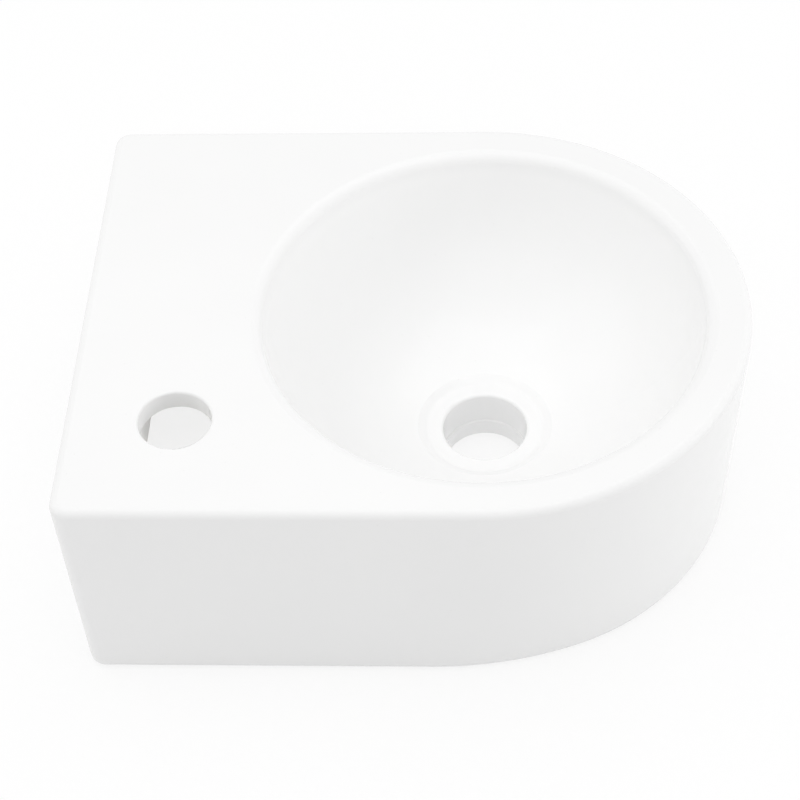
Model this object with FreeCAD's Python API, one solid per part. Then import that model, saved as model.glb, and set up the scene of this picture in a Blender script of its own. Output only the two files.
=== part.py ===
"""Wall-hung corner basin: one glazed ceramic body, and the bolt sets that hold it to the wall.

Millimetres, +Z up. The basin's wall face lies in the plane Y = 0, with the room on the
negative side. The origin is midway between the two wall bolts, in that plane. +X runs
along the wall towards the round end, and the square end stands in the corner.
"""
import FreeCAD, Part
import math
import os
from FreeCAD import Vector

# ---- outside of the basin ---------------------------------------------------------------
flat_length = 201.0        # square end to the axis of the bowl and of the round end
depth = 267.0              # wall face to front face, and twice the round end's radius
height = 124.7             # deck to base
square_end_taper = 2.3     # how far the square end leans in at the base
round_end_taper = 5.3      # the same for the round end
tip_arc_angle = 68.0       # half the arc struck from the bowl's axis, degrees
corner_radius = 8.5        # upright corners of the square end
deck_edge_radius = 4.0     # rounding round the deck
base_edge_radius = 5.0     # rounding round the base

# ---- walls ------------------------------------------------------------------------------
deck_thickness = 10.5
skirt_thickness = 12.0
bowl_thickness = 11.0
rim_depth = 38.0           # solid ceramic between the bowl and the skirt, below the deck
inner_corner_radius = 9.0  # upright corners of the hollow
ceiling_radius = 6.0       # rounding where the hollow meets the deck and the bowl's shell
throat_radius = 5.0        # rounding where the hollow meets the solid rim
pocket_setback = 56.0      # end of the deep pocket, from the bowl's axis
base_inner_radius = 1.5    # rounding on the inner edge of the base

# ---- bowl -------------------------------------------------------------------------------
rim_width = 21.5           # bowl to the edge of the deck, before either is rounded
bowl_wall_angle = 80.0     # slope of the bowl's wall at the lip, degrees
bowl_floor_angle = 12.0    # slope of the bowl's floor at the waste recess, degrees
largest_arc_share = 0.999  # of the largest rounding that fits between two slopes
lip_radius = 6.0

# ---- waste outlet -----------------------------------------------------------------------
waste_land_radius = 21.4   # lower part of the hole, which guides the waste's tail
waste_land_length = 9.5
waste_step = 0.8           # how much wider the hole is above the land
waste_rim_radius = 1.5     # rounding of the hole's upper edge
waste_length = 29.8        # seat of the waste flange to the underside of the boss
waste_wall = 10.5          # ceramic round the hole
seat_width = 8.8           # flat seat round the hole
recess_slope_width = 4.5   # slope between the seat and the bowl's floor
recess_depth = 2.5
recess_edge_radius = 4.0
boss_lift = 3.2            # underside of the boss, above the base
boss_root_radius = 9.0
boss_edge_radius = 2.0

# ---- tap hole ---------------------------------------------------------------------------
tap_from_end = 54.0        # centre, from the square end
tap_from_front = 58.0      # centre, from the front face
tap_hole_radius = 17.75
tap_rim_radius = 1.2

# ---- wall fixings -----------------------------------------------------------------------
bolt_from_end = 45.0       # first bolt, from the square end
bolt_spacing = 140.0
bolt_drop = 72.0           # bolts below the deck
bolt_radius = 4.0
bolt_reach = 50.0          # how far a bolt stands out of the wall face
wood_thread_radius = 3.8   # from the wall face onwards
bolt_point_length = 9.0
bolt_tail = 6.0            # thread showing past the nut
bolt_chamfer = 0.8
pad_radius = 17.0          # raised seat round each fixing hole
pad_spread = 2.0           # how much wider the seat is at its root
pad_thickness = 3.0
fixing_hole_radius = 7.0
sleeve_clearance = 0.3     # sleeve in its hole
sleeve_bore_clearance = 0.25
sleeve_end_gap = 1.0       # sleeve's tube stops this far short of the wall face
sleeve_flange_radius = 13.0
sleeve_flange_thickness = 3.0
sleeve_flange_chamfer = 0.8
washer_radius = 12.0
washer_thickness = 1.6
washer_clearance = 0.2
nut_across_flats = 13.0
nut_height = 6.5
nut_clearance = 0.05
nut_chamfer = 0.8          # height of the chamfer at the nut's corners

# ---- places that follow from the sizes above --------------------------------------------
x_end = -(bolt_from_end + bolt_spacing / 2.0)
y_front = -depth
z_deck = bolt_drop
z_base = z_deck - height
z_under_deck = z_deck - deck_thickness
z_under_rim = z_deck - rim_depth
end_radius = depth / 2.0
bowl_x = x_end + flat_length
bowl_y = -end_radius
bowl_radius = end_radius - rim_width
z_boss = z_base + boss_lift
z_seat = z_boss + waste_length
z_recess = z_seat + recess_depth
waste_throat_radius = waste_land_radius + waste_step
seat_radius = waste_throat_radius + seat_width
recess_radius = seat_radius + recess_slope_width
boss_radius = waste_throat_radius + waste_wall
tap_x = x_end + tap_from_end
tap_y = y_front + tap_from_front
y_pad = -skirt_thickness - pad_thickness
y_flange = y_pad - sleeve_flange_thickness
y_washer = y_flange - washer_thickness
y_nut = y_washer - nut_height
y_tail = y_nut - bolt_tail
bolt_places = [-bolt_spacing / 2.0, bolt_spacing / 2.0]
overcut = 10.0             # how far a cutting shape runs past what it cuts


def slope_unit(angle_degrees):
    """Unit vector in the (radius, height) plane, at an angle above the outward radius."""
    angle = math.radians(angle_degrees)
    return (math.cos(angle), math.sin(angle))


def line_meet(point_a, unit_a, point_b, unit_b):
    """Where two lines in the (radius, height) plane meet."""
    cross = unit_a[0] * unit_b[1] - unit_a[1] * unit_b[0]
    step_r = point_b[0] - point_a[0]
    step_z = point_b[1] - point_a[1]
    along = (step_r * unit_b[1] - step_z * unit_b[0]) / cross
    return (point_a[0] + along * unit_a[0], point_a[1] + along * unit_a[1])


def rounded_wire(corners):
    """Closed wire through (point, radius) corners, where each radius rounds its corner."""
    starts = []
    edges = []
    ends = []
    count = len(corners)
    for index in range(count):
        point, radius = corners[index]
        if radius == 0.0:
            starts.append(point)
            ends.append(point)
            continue
        to_before = (corners[index - 1][0] - point).normalize()
        to_after = (corners[(index + 1) % count][0] - point).normalize()
        half = to_before.getAngle(to_after) / 2.0
        bisector = (to_before + to_after).normalize()
        start = point + to_before * (radius / math.tan(half))
        middle = point + bisector * (radius / math.sin(half) - radius)
        end = point + to_after * (radius / math.tan(half))
        edges.append(Part.Arc(start, middle, end).toShape())
        starts.append(start)
        ends.append(end)
    for index in range(count):
        following = starts[(index + 1) % count]
        if ends[index].distanceToPoint(following) > 1e-6:
            edges.append(Part.LineSegment(ends[index], following).toShape())
    return Part.Wire(Part.__sortEdges__(edges))


def turned(corners):
    """Solid turned about the Z axis, from ((radius, z), rounding) corners."""
    placed = [(Vector(radius, 0, z), rounding) for (radius, z), rounding in corners]
    face = Part.Face(rounded_wire(placed))
    return face.revolve(Vector(0, 0, 0), Vector(0, 0, 1), 360)


def turned_upright(corners, x, y):
    """Solid turned about the upright line at (x, y)."""
    shape = turned(corners)
    shape.translate(Vector(x, y, 0))
    return shape


def turned_into_wall(points, x):
    """Solid turned about the bolt line at x, from (radius, y) points."""
    shape = turned([(point, 0.0) for point in points])
    shape.rotate(Vector(0, 0, 0), Vector(1, 0, 0), -90)
    shape.translate(Vector(x, 0, 0))
    return shape


def square_end_at(z):
    """Where the leaning square end stands at height z."""
    return x_end + square_end_taper * (z_deck - z) / height


def on_circle(x, y, radius, angle_degrees, z):
    """Point on a level circle about (x, y)."""
    angle = math.radians(angle_degrees)
    return Vector(x + radius * math.cos(angle), y + radius * math.sin(angle), z)


def d_outline(z, inset, corner):
    """The basin's D-shaped outline at height z, drawn in by inset.

    The round end is three arcs. The middle one is struck from the bowl's axis, and a
    shoulder on either side of it runs into the straight front and the wall face.
    """
    side_radius = end_radius - inset
    tip_radius = side_radius - round_end_taper * (z_deck - z) / height
    rise = math.sin(math.radians(tip_arc_angle))
    run = math.cos(math.radians(tip_arc_angle))
    shoulder_radius = (side_radius - tip_radius * rise) / (1.0 - rise)
    shoulder_x = bowl_x - (shoulder_radius - tip_radius) * run
    shoulder_y = (shoulder_radius - tip_radius) * rise
    half_way = (90.0 + tip_arc_angle) / 2.0
    front = y_front + inset
    back = -inset
    left = square_end_at(z) + inset
    slant = corner * (1.0 - math.sqrt(0.5))
    front_start = Vector(left + corner, front, z)
    front_end = Vector(shoulder_x, front, z)
    front_shoulder = on_circle(shoulder_x, bowl_y + shoulder_y, shoulder_radius, -half_way, z)
    tip_start = on_circle(bowl_x, bowl_y, tip_radius, -tip_arc_angle, z)
    tip = on_circle(bowl_x, bowl_y, tip_radius, 0.0, z)
    tip_end = on_circle(bowl_x, bowl_y, tip_radius, tip_arc_angle, z)
    back_shoulder = on_circle(shoulder_x, bowl_y - shoulder_y, shoulder_radius, half_way, z)
    back_end = Vector(shoulder_x, back, z)
    back_start = Vector(left + corner, back, z)
    back_corner = Vector(left + slant, back - slant, z)
    end_back = Vector(left, back - corner, z)
    end_front = Vector(left, front + corner, z)
    front_corner = Vector(left + slant, front + slant, z)
    curves = [
        Part.LineSegment(front_start, front_end),
        Part.Arc(front_end, front_shoulder, tip_start),
        Part.Arc(tip_start, tip, tip_end),
        Part.Arc(tip_end, back_shoulder, back_end),
        Part.LineSegment(back_end, back_start),
        Part.Arc(back_start, back_corner, end_back),
        Part.LineSegment(end_back, end_front),
        Part.Arc(end_front, front_corner, front_start),
    ]
    return Part.Wire([curve.toShape() for curve in curves])


def pocket_outline(z):
    """Outline at height z of the deep pocket, from the square end towards the bowl."""
    left = square_end_at(z) + skirt_thickness
    right = bowl_x - pocket_setback
    front = y_front + skirt_thickness
    back = -skirt_thickness
    corners = [(left, front), (right, front), (right, back), (left, back)]
    return rounded_wire([(Vector(x, y, z), inner_corner_radius) for x, y in corners])


def tapered_block(top, bottom):
    """Solid between two outlines, with flat walls between their straight edges."""
    walls = [Part.Face(top), Part.Face(bottom)]
    for upper, lower in zip(top.OrderedEdges, bottom.OrderedEdges):
        if isinstance(upper.Curve, Part.Line):
            first, second = [vertex.Point for vertex in upper.Vertexes]
            fourth, third = [vertex.Point for vertex in lower.Vertexes]
            walls.append(Part.Face(Part.makePolygon([first, second, third, fourth, first])))
        else:
            walls.append(Part.makeRuledSurface(upper, lower))
    shell = Part.Shell(walls)
    shell.sewShape()
    return Part.Solid(shell)


def edges_at(shape, z):
    """Edges of a shape that lie in the level plane at z."""
    found = []
    for edge in shape.Edges:
        box = edge.BoundBox
        if abs(box.ZMin - z) < 1e-3 and abs(box.ZMax - z) < 1e-3:
            found.append(edge)
    return found


def circles_at(shape, x, y, z, radius):
    """Round edges of a shape at height z, about the upright line at (x, y)."""
    found = []
    for edge in edges_at(shape, z):
        if not isinstance(edge.Curve, Part.Circle):
            continue
        centre = edge.Curve.Center
        off_axis = math.hypot(centre.x - x, centre.y - y)
        if off_axis < 0.01 and abs(edge.Curve.Radius - radius) < 0.01:
            found.append(edge)
    return found


def base_inner_edges(body):
    """Edges of the flat base on the side of the hollow."""
    found = []
    for face in body.Faces:
        box = face.BoundBox
        if abs(box.ZMin - z_base) > 1e-3 or abs(box.ZMax - z_base) > 1e-3:
            continue
        for wire in face.Wires:
            if not wire.isSame(face.OuterWire):
                found.extend(wire.Edges)
    return found


def outer_block():
    """The basin's outside as a solid block, with its edges rounded."""
    top = d_outline(z_deck, 0.0, corner_radius)
    bottom = d_outline(z_base, 0.0, corner_radius)
    block = tapered_block(top, bottom)
    block = block.makeFillet(deck_edge_radius, edges_at(block, z_deck))
    return block.makeFillet(base_edge_radius, edges_at(block, z_base))


def largest_rounding(corner, end_a, end_b, turn_degrees):
    """Nearly the largest rounding of a corner that stays short of both ends of its sides."""
    reach_a = math.hypot(corner[0] - end_a[0], corner[1] - end_a[1])
    reach_b = math.hypot(corner[0] - end_b[0], corner[1] - end_b[1])
    half_turn = math.radians(turn_degrees) / 2.0
    return largest_arc_share * min(reach_a, reach_b) / math.tan(half_turn)


def bowl_section():
    """The bowl's section: the corner of its two slopes, their directions and its rounding.

    The rounding leaves enough of the wall straight for the lip's own rounding.
    """
    wall = slope_unit(bowl_wall_angle)
    floor = slope_unit(bowl_floor_angle)
    wall_end = (bowl_radius - lip_radius * wall[0], z_deck - lip_radius * wall[1])
    floor_end = (recess_radius, z_recess)
    corner = line_meet(wall_end, wall, floor_end, floor)
    turn = bowl_wall_angle - bowl_floor_angle
    return corner, wall, floor, largest_rounding(corner, wall_end, floor_end, turn)


def bowl_space():
    """The bowl, the waste recess and the waste hole, as one turned cutting shape."""
    corner, wall, floor, rounding = bowl_section()
    above = line_meet(corner, wall, (0.0, z_deck + overcut), (1.0, 0.0))
    z_land = z_boss + waste_land_length
    return turned_upright([
        ((0.0, z_deck + overcut), 0.0),
        (above, 0.0),
        (corner, rounding),
        ((recess_radius, z_recess), 0.0),
        ((seat_radius, z_seat), recess_edge_radius),
        ((waste_throat_radius, z_seat), 0.0),
        ((waste_throat_radius, z_land + waste_step), 0.0),
        ((waste_land_radius, z_land), 0.0),
        ((waste_land_radius, z_boss - overcut), 0.0),
        ((0.0, z_boss - overcut), 0.0),
    ], bowl_x, bowl_y)


def bowl_shell():
    """Outside of the bowl's shell, with the boss round the waste hole.

    It starts as a disc inside the deck, so that the root of the shell is rounded.
    """
    corner, wall, floor, rounding = bowl_section()
    wall_point = (corner[0] + bowl_thickness * wall[1], corner[1] - bowl_thickness * wall[0])
    floor_point = (corner[0] + bowl_thickness * floor[1], corner[1] - bowl_thickness * floor[0])
    outer_corner = line_meet(wall_point, wall, floor_point, floor)
    boss_root = line_meet(floor_point, floor, (boss_radius, 0.0), (0.0, 1.0))
    root = line_meet(wall_point, wall, (0.0, z_under_deck), (1.0, 0.0))
    turn = bowl_wall_angle - bowl_floor_angle
    outer_rounding = largest_rounding(outer_corner, root, boss_root, turn)
    disc_radius = root[0] + 2.0 * ceiling_radius
    return turned_upright([
        ((0.0, z_deck), 0.0),
        ((disc_radius, z_deck), 0.0),
        ((disc_radius, z_under_deck), 0.0),
        (root, ceiling_radius),
        (outer_corner, min(rounding + bowl_thickness, outer_rounding)),
        (boss_root, boss_root_radius),
        ((boss_radius, z_boss), boss_edge_radius),
        ((0.0, z_boss), 0.0),
    ], bowl_x, bowl_y)


def fixing_pad(x):
    """Raised seat inside the wall for one fixing."""
    root = pad_radius + pad_spread
    middle = -skirt_thickness / 2.0
    return turned_into_wall([
        (0.0, y_pad),
        (pad_radius, y_pad),
        (root, -skirt_thickness),
        (root, middle),
        (0.0, middle),
    ], x)


def hollow():
    """The space under the basin: a deep pocket beside the bowl, a shallow one round it."""
    z_below = z_base - overcut
    pocket = tapered_block(pocket_outline(z_under_deck), pocket_outline(z_below))
    pocket = pocket.makeFillet(ceiling_radius, edges_at(pocket, z_under_deck))
    ring = tapered_block(
        d_outline(z_under_rim, skirt_thickness, inner_corner_radius),
        d_outline(z_below, skirt_thickness, inner_corner_radius),
    )
    ring = ring.makeFillet(throat_radius, edges_at(ring, z_under_rim))
    space = pocket.fuse(ring).cut(bowl_shell())
    for x in bolt_places:
        space = space.cut(fixing_pad(x))
    return space


def tap_hole():
    """Cutting shape for the tap hole through the deck."""
    base = Vector(tap_x, tap_y, z_under_deck - overcut)
    return Part.makeCylinder(tap_hole_radius, deck_thickness + 2.0 * overcut, base)


def fixing_hole(x):
    """Cutting shape for one fixing hole through the wall face and its seat."""
    start = Vector(x, y_pad - overcut, 0)
    return Part.makeCylinder(fixing_hole_radius, -y_pad + 2.0 * overcut, start, Vector(0, 1, 0))


def basin_body():
    """The ceramic body, cast in one piece."""
    body = outer_block().cut(hollow())
    body = body.cut(bowl_space())
    body = body.cut(tap_hole())
    for x in bolt_places:
        body = body.cut(fixing_hole(x))
    lip = circles_at(body, bowl_x, bowl_y, z_deck, bowl_radius)
    body = body.makeFillet(lip_radius, lip)
    tap_rim = circles_at(body, tap_x, tap_y, z_deck, tap_hole_radius)
    body = body.makeFillet(tap_rim_radius, tap_rim)
    waste_rim = circles_at(body, bowl_x, bowl_y, z_seat, waste_throat_radius)
    body = body.makeFillet(waste_rim_radius, waste_rim)
    return body.makeFillet(base_inner_radius, base_inner_edges(body))


def fixing_sleeve(x):
    """Flanged bush that keeps a bolt off the ceramic."""
    bore = bolt_radius + sleeve_bore_clearance
    tube = fixing_hole_radius - sleeve_clearance
    return turned_into_wall([
        (bore, y_flange),
        (sleeve_flange_radius - sleeve_flange_chamfer, y_flange),
        (sleeve_flange_radius, y_flange + sleeve_flange_chamfer),
        (sleeve_flange_radius, y_pad),
        (tube, y_pad),
        (tube, -sleeve_end_gap),
        (bore, -sleeve_end_gap),
    ], x)


def fixing_washer(x):
    """Flat washer between a sleeve's flange and its nut."""
    bore = bolt_radius + washer_clearance
    return turned_into_wall([
        (bore, y_washer),
        (washer_radius, y_washer),
        (washer_radius, y_flange),
        (bore, y_flange),
    ], x)


def fixing_nut(x):
    """Hexagon nut, chamfered at both ends."""
    corner = nut_across_flats / math.sqrt(3.0)
    points = []
    for step in range(7):
        angle = math.radians(60 * step)
        points.append(Vector(x + corner * math.cos(angle), y_nut, corner * math.sin(angle)))
    prism = Part.Face(Part.makePolygon(points)).extrude(Vector(0, nut_height, 0))
    bore = bolt_radius + nut_clearance
    flat = nut_across_flats / 2.0
    barrel = turned_into_wall([
        (bore, y_nut),
        (flat, y_nut),
        (corner, y_nut + nut_chamfer),
        (corner, y_washer - nut_chamfer),
        (flat, y_washer),
        (bore, y_washer),
    ], x)
    return prism.common(barrel)


def wall_bolt(x):
    """Hanger bolt: machine thread through the basin, wood thread in the wall."""
    shoulder = bolt_radius - wood_thread_radius
    return turned_into_wall([
        (0.0, y_tail),
        (bolt_radius - bolt_chamfer, y_tail),
        (bolt_radius, y_tail + bolt_chamfer),
        (bolt_radius, -shoulder),
        (wood_thread_radius, 0.0),
        (wood_thread_radius, bolt_reach - bolt_point_length),
        (0.0, bolt_reach),
    ], x)


def export(name, solids):
    """Write one sub-part, one solid or a group of equal ones."""
    shape = solids[0] if len(solids) == 1 else Part.makeCompound(solids)
    shape.exportStep(os.path.join("parts", name + ".step"))
    volume = sum(solid.Volume for solid in solids)
    print(name, len(shape.Solids), "solid(s)", round(volume / 1000.0, 2), "cm3", shape.isValid())


os.makedirs("parts", exist_ok=True)
export("basin_body", [basin_body()])
export("fixing_sleeves", [fixing_sleeve(x) for x in bolt_places])
export("fixing_washers", [fixing_washer(x) for x in bolt_places])
export("fixing_nuts", [fixing_nut(x) for x in bolt_places])
export("wall_bolts", [wall_bolt(x) for x in bolt_places])
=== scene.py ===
"""Looks of the corner basin: glazed ceramic, nylon sleeves and threaded zinc-plated fixings."""
import math

import bmesh
import bpy
from mathutils import Matrix, Vector

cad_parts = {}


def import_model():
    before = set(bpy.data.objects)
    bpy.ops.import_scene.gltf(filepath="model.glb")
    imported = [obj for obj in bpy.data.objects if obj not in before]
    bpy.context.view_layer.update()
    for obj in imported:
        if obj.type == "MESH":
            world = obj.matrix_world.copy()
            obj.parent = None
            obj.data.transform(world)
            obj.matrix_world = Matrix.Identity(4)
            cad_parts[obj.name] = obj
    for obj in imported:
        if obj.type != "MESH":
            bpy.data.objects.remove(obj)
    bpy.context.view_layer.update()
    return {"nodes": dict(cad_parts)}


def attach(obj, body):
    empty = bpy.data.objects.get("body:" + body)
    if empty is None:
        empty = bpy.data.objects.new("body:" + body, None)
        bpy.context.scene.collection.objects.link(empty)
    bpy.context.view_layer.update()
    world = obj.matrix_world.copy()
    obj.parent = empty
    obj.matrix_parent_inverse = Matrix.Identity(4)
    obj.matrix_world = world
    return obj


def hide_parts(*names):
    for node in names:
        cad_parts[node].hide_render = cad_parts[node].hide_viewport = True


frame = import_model()

# ---- places in the shared frame, metres -------------------------------------------------
BOWL_X = 0.086                  # axis of the bowl, the waste hole and the round end
BOWL_Y = -0.1335
END_RADIUS = 0.1335             # round end, at the deck
SQUARE_END_X = -0.115
BASE_Z = -0.0527
UNDER_DECK_Z = 0.0615
BOLT_X = (-0.070, 0.070)
BOLT_TAIL_Y = -0.0321           # end of the bolt inside the basin
BOLT_TIP_Y = 0.050              # point of the bolt in the wall
MIDDLE = (0.03, -0.13, 0.02)    # middle of the basin, the target of the lamps around it

# ---- where each finish of the ceramic ends, metres --------------------------------------
BOWL_RADIUS = 0.1135                    # glaze of the bowl, round its axis
WASTE_RADIUS = 0.0235                   # glaze of the waste hole, round the same axis
HOLLOW_TOP_Z = UNDER_DECK_Z + 0.0004
SKIRT_DEPTH = 0.0085                    # the hollow starts this far inside the outer faces
PAINTED_LIGHT_START_Z = 0.069                    # painted light: the bowl's glaze is painted lighter from here
PAINTED_LIGHT_FULL_Z = 0.061                     # down to here
WIPED_HEIGHT = (0.0003, 0.0016)         # bare clay above the base, least and most
GROUND_DEPTH = (-0.0002, -0.0010)       # bare clay in from the wall face, least and most
FACES_UP = 0.05                         # limits of the parts of a face's normal
FACES_DOWN = -0.3
FACES_WALL = 0.9

# ---- colours, linear, and roughness; a pair is the two ends of a range ------------------
WIDE = (0.3, 0.7)                       # parts of a noise that a range is spread over
NARROW = (0.35, 0.65)
GLAZE = ((0.930, 0.930, 0.929, 1.0), (0.940, 0.940, 0.938, 1.0))
GLAZE_ROUGHNESS = (0.20, 0.26)
GLAZE_IOR = 1.52
# painted light: the bowl's glaze colour, lighter to stand in for the bright light in the bowl
BOWL_PAINTED_LIGHT = (0.972, 0.972, 0.970, 1.0)
SPECK = (0.70, 0.69, 0.66, 1.0)
SPECK_SHARE = 0.30
SPECK_EDGE = (0.020, 0.045)             # radius, in cells of the pattern
SPRAYED_GLAZE = ((0.875, 0.870, 0.850, 1.0), (0.925, 0.922, 0.912, 1.0))
SPRAYED_ROUGHNESS = (0.30, 0.46)
CLAY = ((0.855, 0.838, 0.795, 1.0), (0.910, 0.898, 0.868, 1.0))
CLAY_ROUGHNESS = 0.78
NYLON = ((0.835, 0.835, 0.800, 1.0), (0.880, 0.880, 0.855, 1.0))
NYLON_ROUGHNESS = (0.36, 0.50)
ZINC = ((0.64, 0.67, 0.71, 1.0), (0.72, 0.71, 0.66, 1.0))
ZINC_ROUGHNESS = (0.22, 0.38)
ZINC_STAIN = (0.47, 0.48, 0.49, 1.0)

# ---- threads of the hanger bolts, metres ------------------------------------------------
BOLT_SIDES = 28                         # points in a turn
SMOOTH_DEGREES = 35.0                   # sharper edges than this stay sharp
MACHINE_PITCH = 0.00125
MACHINE_CREST = 0.0040
MACHINE_ROOT = 0.0033
MACHINE_FORM = (0.0, 0.16, 0.56, 0.62)  # crest's two edges and root's two, in pitches
MACHINE_FADE = 0.8                      # turns over which the thread runs out
WOOD_PITCH = 0.0030
WOOD_CREST = 0.0038
WOOD_ROOT = 0.00278
WOOD_FORM = (0.0, 0.06, 0.36, 0.72)
WOOD_FADE = 1.2

# ---- camera and light -------------------------------------------------------------------
CAMERA_AT = (0.10173, -0.87360, 0.83263)
CAMERA_PITCH = 48.2224                  # degrees, looking down
CAMERA_YAW = 4.6390
CAMERA_ROLL = -3.4581
CAMERA_LENS = 95.556                    # millimetres
FLOOR_SIZE = 8.0
FLOOR_GAP = 0.0001                      # from the floor up to the base
FLOOR_TONE = 0.80                       # the floor's colour for the light it throws back
BACKDROP_SHARE = 0.77                   # plain white in the floor that the camera sees
WORLD_STRENGTH = 0.75
SOFT_LAMP_SIZE = 1.0                    # only lamps larger than this show in the glaze
LAMPS = (                               # name, place, target, size in metres, watts
    ("top", (0.10, 0.20, 1.50), MIDDLE, 1.60, 4.6),
    ("front", (-0.20, -1.10, 1.50), MIDDLE, 2.00, 3.0),
    ("right", (1.60, -0.25, 0.26), MIDDLE, 0.60, 3.6),
    ("left", (-1.30, -0.10, 0.90), MIDDLE, 1.60, 2.2),
    ("under_bowl", (BOWL_X, BOWL_Y, BASE_Z + 0.001), (BOWL_X, BOWL_Y, 0.0), 0.12, 0.013),
    ("under_tap", (-0.035, -0.205, -0.030), (-0.104, -0.148, 0.005), 0.05, 0.050),
)


class Look:
    """A node material, built by short calls that return sockets."""

    def __init__(self, name):
        self.material = bpy.data.materials.new(name)
        self.material.use_nodes = True
        self.tree = self.material.node_tree
        self.shader = self.tree.nodes["Principled BSDF"]
        self.place = self.node("ShaderNodeTexCoord").outputs["Object"]

    def node(self, kind, **settings):
        made = self.tree.nodes.new(kind)
        for key, value in settings.items():
            setattr(made, key, value)
        return made

    def put(self, socket, value):
        """Link a socket to an input, or set a number or colour on it."""
        if isinstance(value, bpy.types.NodeSocket):
            self.tree.links.new(value, socket)
        else:
            socket.default_value = value

    def math(self, operation, first, second=0.0):
        made = self.node("ShaderNodeMath", operation=operation)
        self.put(made.inputs[0], first)
        self.put(made.inputs[1], second)
        return made.outputs[0]

    def length(self, first, second):
        """Length of a vector with two given components."""
        return self.math("SQRT", self.math("ADD", self.math("MULTIPLY", first, first),
                                           self.math("MULTIPLY", second, second)))

    def ramp(self, value, low, high, start=0.0, end=1.0):
        """Value mapped from low..high to start..end, and held at the ends."""
        made = self.node("ShaderNodeMapRange")
        for index, entry in enumerate((value, low, high, start, end)):
            self.put(made.inputs[index], entry)
        return made.outputs[0]

    def axes(self, vector):
        made = self.node("ShaderNodeSeparateXYZ")
        self.put(made.inputs[0], vector)
        return made.outputs[0], made.outputs[1], made.outputs[2]

    def noise(self, scale, detail=2.0, roughness=0.5, stretch=None):
        made = self.node("ShaderNodeTexNoise")
        source = self.place
        if stretch:
            bend = self.node("ShaderNodeMapping")
            self.put(bend.inputs["Vector"], source)
            bend.inputs["Scale"].default_value = stretch
            source = bend.outputs[0]
        self.put(made.inputs["Vector"], source)
        made.inputs["Scale"].default_value = scale
        made.inputs["Detail"].default_value = detail
        made.inputs["Roughness"].default_value = roughness
        return made.outputs["Fac"]

    def mix(self, share, first, second):
        """Colour between two colours."""
        made = self.node("ShaderNodeMix", data_type="RGBA")
        self.put(made.inputs["Factor"], share)
        self.put(made.inputs[6], first)
        self.put(made.inputs[7], second)
        return made.outputs[2]

    def blend(self, share, first, second):
        """Number between two numbers."""
        made = self.node("ShaderNodeMix", data_type="FLOAT")
        self.put(made.inputs["Factor"], share)
        self.put(made.inputs[2], first)
        self.put(made.inputs[3], second)
        return made.outputs[0]

    def bump(self, height, distance, strength=1.0, under=None):
        made = self.node("ShaderNodeBump")
        made.inputs["Distance"].default_value = distance
        made.inputs["Strength"].default_value = strength
        self.put(made.inputs["Height"], height)
        if under is not None:
            self.put(made.inputs["Normal"], under)
        return made.outputs[0]


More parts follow.
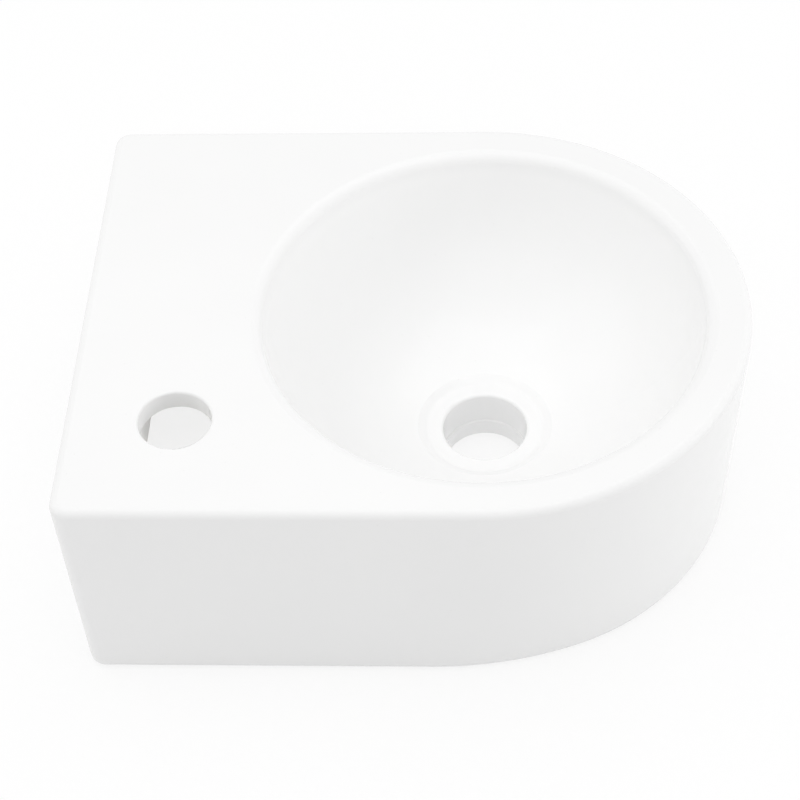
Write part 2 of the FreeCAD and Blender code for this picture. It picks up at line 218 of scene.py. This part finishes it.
def ceramic():
    """White glaze, painted lighter in the bowl: painted light for the bowl's bright light.

    The hollow has a thin sprayed glaze. The base and the flat of the wall face are bare clay.
    """
    look = Look("ceramic")
    x, y, z = look.axes(look.place)
    facing = look.axes(look.node("ShaderNodeNewGeometry").outputs["True Normal"])

    # how far a point lies outside the D-shaped plan; inside it this is below zero
    from_axis = look.math("SUBTRACT", x, BOWL_X)
    off_middle = look.math("SUBTRACT", y, BOWL_Y)
    past_axis = look.math("MAXIMUM", from_axis, 0.0)
    outside_round = look.math("SUBTRACT", look.length(past_axis, off_middle), END_RADIUS)
    outside_square = look.math("SUBTRACT", SQUARE_END_X, x)
    outside = look.math("MAXIMUM", outside_round, outside_square)

    bowl_reach = look.length(from_axis, off_middle)
    in_bowl = look.math("MULTIPLY", look.math("LESS_THAN", bowl_reach, BOWL_RADIUS),
                        look.math("GREATER_THAN", facing[2], FACES_UP))
    in_waste = look.math("LESS_THAN", bowl_reach, WASTE_RADIUS)
    in_sight = look.math("MAXIMUM", in_bowl, in_waste)
    under_deck = look.math("LESS_THAN", z, HOLLOW_TOP_Z)
    behind_skirt = look.math("LESS_THAN", outside, -SKIRT_DEPTH)
    hollow = look.math("MULTIPLY", look.math("MULTIPLY", under_deck, behind_skirt),
                       look.math("SUBTRACT", 1.0, in_sight))

    wander = look.noise(240.0, 3.0)
    wiped_to = look.ramp(wander, *WIDE, BASE_Z + WIPED_HEIGHT[0], BASE_Z + WIPED_HEIGHT[1])
    wiped = look.math("MULTIPLY", look.math("LESS_THAN", z, wiped_to),
                      look.math("LESS_THAN", facing[2], FACES_DOWN))
    ground_to = look.ramp(wander, *WIDE, *GROUND_DEPTH)
    ground = look.math("MULTIPLY", look.math("GREATER_THAN", y, ground_to),
                       look.math("GREATER_THAN", facing[1], FACES_WALL))
    bare = look.math("MAXIMUM", wiped, ground)

    glaze = look.mix(look.ramp(look.noise(14.0, 3.0, 0.55), *WIDE), *GLAZE)
    # painted light: the bowl is painted lighter towards its floor, standing in for its bright
    # light
    bowl_painted_light = look.math("MULTIPLY", in_bowl, look.ramp(z, PAINTED_LIGHT_START_Z, PAINTED_LIGHT_FULL_Z))
    glaze = look.mix(bowl_painted_light, glaze, BOWL_PAINTED_LIGHT)
    cells = look.node("ShaderNodeTexVoronoi")
    look.put(cells.inputs["Vector"], look.place)
    cells.inputs["Scale"].default_value = 130.0
    speck = look.ramp(cells.outputs["Distance"], *SPECK_EDGE, 1.0, 0.0)
    glaze = look.mix(look.math("MULTIPLY", speck, SPECK_SHARE), glaze, SPECK)
    sprayed = look.mix(look.ramp(look.noise(60.0, 4.0, 0.6), *NARROW), *SPRAYED_GLAZE)
    clay = look.mix(look.ramp(look.noise(900.0, 4.0, 0.7), *NARROW), *CLAY)
    colour = look.mix(bare, look.mix(hollow, glaze, sprayed), clay)
    look.put(look.shader.inputs["Base Color"], colour)

    shine = look.ramp(look.noise(35.0, 3.0), *WIDE, *GLAZE_ROUGHNESS)
    dull = look.ramp(look.noise(170.0, 3.0), *WIDE, *SPRAYED_ROUGHNESS)
    roughness = look.blend(bare, look.blend(hollow, shine, dull), CLAY_ROUGHNESS)
    look.put(look.shader.inputs["Roughness"], roughness)
    look.shader.inputs["IOR"].default_value = GLAZE_IOR

    # slow waves of the casting, then orange peel, pin holes and the grain of spray and clay
    waves = look.bump(look.noise(17.0, 1.0), 0.00035)
    peel = look.bump(look.noise(330.0, 2.0), 0.000006, 1.0, waves)
    pits = look.bump(look.math("SUBTRACT", 1.0, speck), 0.00004, 0.6, peel)
    grain = look.math("MULTIPLY", look.noise(520.0, 4.0, 0.65),
                      look.math("MAXIMUM", hollow, bare))
    look.put(look.shader.inputs["Normal"], look.bump(grain, 0.00012, 0.8, pits))
    return look.material


def nylon():
    """Moulded white nylon: slightly milky, with the fine grain of the mould."""
    look = Look("nylon")
    milk = look.ramp(look.noise(220.0, 3.0), *WIDE)
    look.put(look.shader.inputs["Base Color"], look.mix(milk, *NYLON))
    look.put(look.shader.inputs["Roughness"],
             look.ramp(look.noise(900.0, 2.0), *WIDE, *NYLON_ROUGHNESS))
    look.shader.inputs["Subsurface Weight"].default_value = 0.18
    look.shader.inputs["Subsurface Radius"].default_value = (0.0012, 0.0011, 0.0009)
    look.shader.inputs["Subsurface Scale"].default_value = 1.0
    look.put(look.shader.inputs["Normal"], look.bump(look.noise(2600.0, 2.0), 0.00002, 0.7))
    return look.material


def zinc_steel():
    """Bright zinc plating with faint blue and straw tints, stains and rolling marks."""
    look = Look("zinc_steel")
    plated = look.mix(look.ramp(look.noise(150.0, 3.0), *NARROW), *ZINC)
    stain = look.ramp(look.noise(420.0, 4.0, 0.7), 0.58, 0.75)
    look.put(look.shader.inputs["Base Color"],
             look.mix(look.math("MULTIPLY", stain, 0.5), plated, ZINC_STAIN))
    look.shader.inputs["Metallic"].default_value = 1.0
    look.put(look.shader.inputs["Roughness"],
             look.ramp(look.noise(700.0, 3.0), *WIDE, *ZINC_ROUGHNESS))
    marks = look.noise(400.0, 2.0, 0.5, (1.0, 9.0, 1.0))
    look.put(look.shader.inputs["Normal"], look.bump(marks, 0.00003, 0.6))
    return look.material


def thread(mesh, x, start, end, pitch, crest, root, form, fade):
    """Helical thread about the bolt line at x, from y = start to y = end.

    Each turn has four rows of points: both edges of the crest and both of the root. The
    thread's height fades in and out over a given number of turns at the ends.
    """
    steps = int((end - start) / pitch * BOLT_SIDES)
    columns = []
    for step in range(steps + 1):
        turn = step / BOLT_SIDES
        left = (steps - step) / BOLT_SIDES
        share = min(1.0, turn / fade, left / fade)
        angle = 2.0 * math.pi * turn
        column = []
        for place, on_crest in zip(form, (True, True, False, False)):
            radius = root + (crest - root) * share if on_crest else root
            column.append(mesh.verts.new((
                x + radius * math.cos(angle),
                start + pitch * (turn + place) - pitch * form[1],
                radius * math.sin(angle),
            )))
        columns.append(column)
    for step in range(steps):
        here, following = columns[step], columns[step + 1]
        for row in range(3):
            mesh.faces.new((here[row], following[row], following[row + 1], here[row + 1]))
        if step + BOLT_SIDES < steps:
            ahead, further = columns[step + BOLT_SIDES], columns[step + BOLT_SIDES + 1]
            mesh.faces.new((here[3], following[3], further[0], ahead[0]))


def lathe(mesh, x, profile):
    """Surface turned about the bolt line at x, from (radius, y) points."""
    rings = []
    for radius, y in profile:
        ring = []
        for side in range(BOLT_SIDES if radius > 0.0 else 1):
            angle = 2.0 * math.pi * side / BOLT_SIDES
            ring.append(mesh.verts.new((x + radius * math.cos(angle), y,
                                        radius * math.sin(angle))))
        rings.append(ring)
    for first, second in zip(rings, rings[1:]):
        for side in range(BOLT_SIDES):
            after = (side + 1) % BOLT_SIDES
            if len(first) == 1:
                mesh.faces.new((first[0], second[after], second[side]))
            elif len(second) == 1:
                mesh.faces.new((first[side], first[after], second[0]))
            else:
                mesh.faces.new((first[side], first[after], second[after], second[side]))


def hanger_bolt(name, x):
    """M8 machine thread through the basin, coarse wood thread and point in the wall."""
    mesh = bmesh.new()
    thread(mesh, x, BOLT_TAIL_Y + 0.0006, -0.0022,
           MACHINE_PITCH, MACHINE_CREST, MACHINE_ROOT, MACHINE_FORM, MACHINE_FADE)
    lathe(mesh, x, [
        (0.0, BOLT_TAIL_Y),                 # flat end and its chamfer
        (0.0030, BOLT_TAIL_Y),
        (0.00332, BOLT_TAIL_Y + 0.0006),    # core of the machine thread
        (0.00332, -0.0026),
        (0.0036, -0.0014),                  # plain shank at the wall face
        (0.0036, 0.0006),
        (0.0029, 0.0018),                   # core of the wood thread
        (0.0028, BOLT_TIP_Y - 0.0068),
        (0.0010, BOLT_TIP_Y - 0.0018),      # point
        (0.0, BOLT_TIP_Y - 0.0003),
    ])
    thread(mesh, x, 0.0016, BOLT_TIP_Y - 0.0090,
           WOOD_PITCH, WOOD_CREST, WOOD_ROOT, WOOD_FORM, WOOD_FADE)
    data = bpy.data.meshes.new(name)
    mesh.to_mesh(data)
    mesh.free()
    bolt = bpy.data.objects.new(name, data)
    bpy.context.scene.collection.objects.link(bolt)
    return bolt


def shade(thing, material):
    """Give a piece its material, and smooth shading between its sharp edges."""
    thing.data.materials.append(material)
    for face in thing.data.polygons:
        face.use_smooth = True
    bpy.context.view_layer.objects.active = thing
    thing.select_set(True)
    bpy.ops.object.shade_smooth_by_angle(angle=math.radians(SMOOTH_DEGREES))
    thing.select_set(False)


def dress(node, material):
    """Give a CAD node a finished material."""
    for slot in frame["nodes"][node].material_slots:
        slot.material = material


def background_rays(tree):
    """1 for what the camera sees directly or in a reflection, and 0 for the light."""
    path = tree.nodes.new("ShaderNodeLightPath")
    seen = tree.nodes.new("ShaderNodeMath")
    seen.operation = "MAXIMUM"
    tree.links.new(path.outputs["Is Camera Ray"], seen.inputs[0])
    tree.links.new(path.outputs["Is Glossy Ray"], seen.inputs[1])
    return seen.outputs[0]


def between(tree, share, start, end):
    """Number that goes from start to end as share goes from 0 to 1."""
    made = tree.nodes.new("ShaderNodeMapRange")
    tree.links.new(share, made.inputs[0])
    made.inputs[3].default_value = start
    made.inputs[4].default_value = end
    return made.outputs[0]


def floor():
    """Pale floor: white to the camera, with what shadow falls on it."""
    bpy.ops.mesh.primitive_plane_add(size=FLOOR_SIZE, location=(0.0, 0.0, BASE_Z - FLOOR_GAP))
    plane = bpy.context.object
    plane.name = "floor"
    material = bpy.data.materials.new("floor")
    material.use_nodes = True
    tree = material.node_tree
    tree.nodes.clear()
    seen = background_rays(tree)
    matt = tree.nodes.new("ShaderNodeBsdfDiffuse")
    tree.links.new(between(tree, seen, FLOOR_TONE, 1.0), matt.inputs["Color"])
    glow = tree.nodes.new("ShaderNodeEmission")
    glow.inputs["Strength"].default_value = 1.0
    mixed = tree.nodes.new("ShaderNodeMixShader")
    tree.links.new(between(tree, seen, 0.0, BACKDROP_SHARE), mixed.inputs[0])
    tree.links.new(matt.outputs[0], mixed.inputs[1])
    tree.links.new(glow.outputs[0], mixed.inputs[2])
    out = tree.nodes.new("ShaderNodeOutputMaterial")
    tree.links.new(mixed.outputs[0], out.inputs[0])
    plane.data.materials.append(material)


def world():
    """White backdrop for the camera, and an even soft light for everything else."""
    studio = bpy.data.worlds.new("studio")
    bpy.context.scene.world = studio
    studio.use_nodes = True
    tree = studio.node_tree
    back = tree.nodes["Background"]
    back.inputs["Color"].default_value = (1.0, 1.0, 1.0, 1.0)
    strength = between(tree, background_rays(tree), WORLD_STRENGTH, 1.0)
    tree.links.new(strength, back.inputs["Strength"])


def lamp(name, place, target, size, watts):
    """Soft square lamp at a place, turned to a target. The camera never sees it directly."""
    data = bpy.data.lights.new(name, "AREA")
    data.shape = "SQUARE"
    data.size = size
    data.energy = watts
    lit = bpy.data.objects.new(name, data)
    bpy.context.scene.collection.objects.link(lit)
    lit.location = place
    direction = Vector(target) - Vector(place)
    lit.rotation_euler = direction.to_track_quat("-Z", "Y").to_euler()
    lit.visible_camera = False
    lit.visible_glossy = size > SOFT_LAMP_SIZE


def camera():
    """Camera at the photograph's place, looking down at the long front side."""
    pitch = math.radians(CAMERA_PITCH)
    yaw = math.radians(CAMERA_YAW)
    roll = math.radians(CAMERA_ROLL)
    right = Vector((math.cos(yaw), math.sin(yaw), 0.0))
    level = Vector((-math.sin(yaw), math.cos(yaw), 0.0))
    ahead = level * math.cos(pitch) - Vector((0.0, 0.0, math.sin(pitch)))
    above = level * math.sin(pitch) + Vector((0.0, 0.0, math.cos(pitch)))
    across = right * math.cos(roll) + above * math.sin(roll)
    up = above * math.cos(roll) - right * math.sin(roll)
    data = bpy.data.cameras.new("camera")
    data.lens = CAMERA_LENS
    data.sensor_width = 36.0
    data.clip_start = 0.05
    data.clip_end = 20.0
    eye = bpy.data.objects.new("camera", data)
    bpy.context.scene.collection.objects.link(eye)
    turn = Matrix((across, up, -ahead)).transposed().to_4x4()
    eye.matrix_world = Matrix.Translation(CAMERA_AT) @ turn
    bpy.context.scene.camera = eye


steel = zinc_steel()
dress("basin_body", ceramic())
dress("fixing_sleeves", nylon())
dress("fixing_washers", steel)
dress("fixing_nuts", steel)
for number, bolt_x in enumerate(BOLT_X):
    bolt = hanger_bolt("threaded_bolt_%d" % (number + 1), bolt_x)
    shade(bolt, steel)
    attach(bolt, "root")
    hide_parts("wall_bolts")

floor()
world()
for name, place, target, size, watts in LAMPS:
    lamp(name, place, target, size, watts)
camera()
bpy.context.scene.view_settings.view_transform = "Standard"
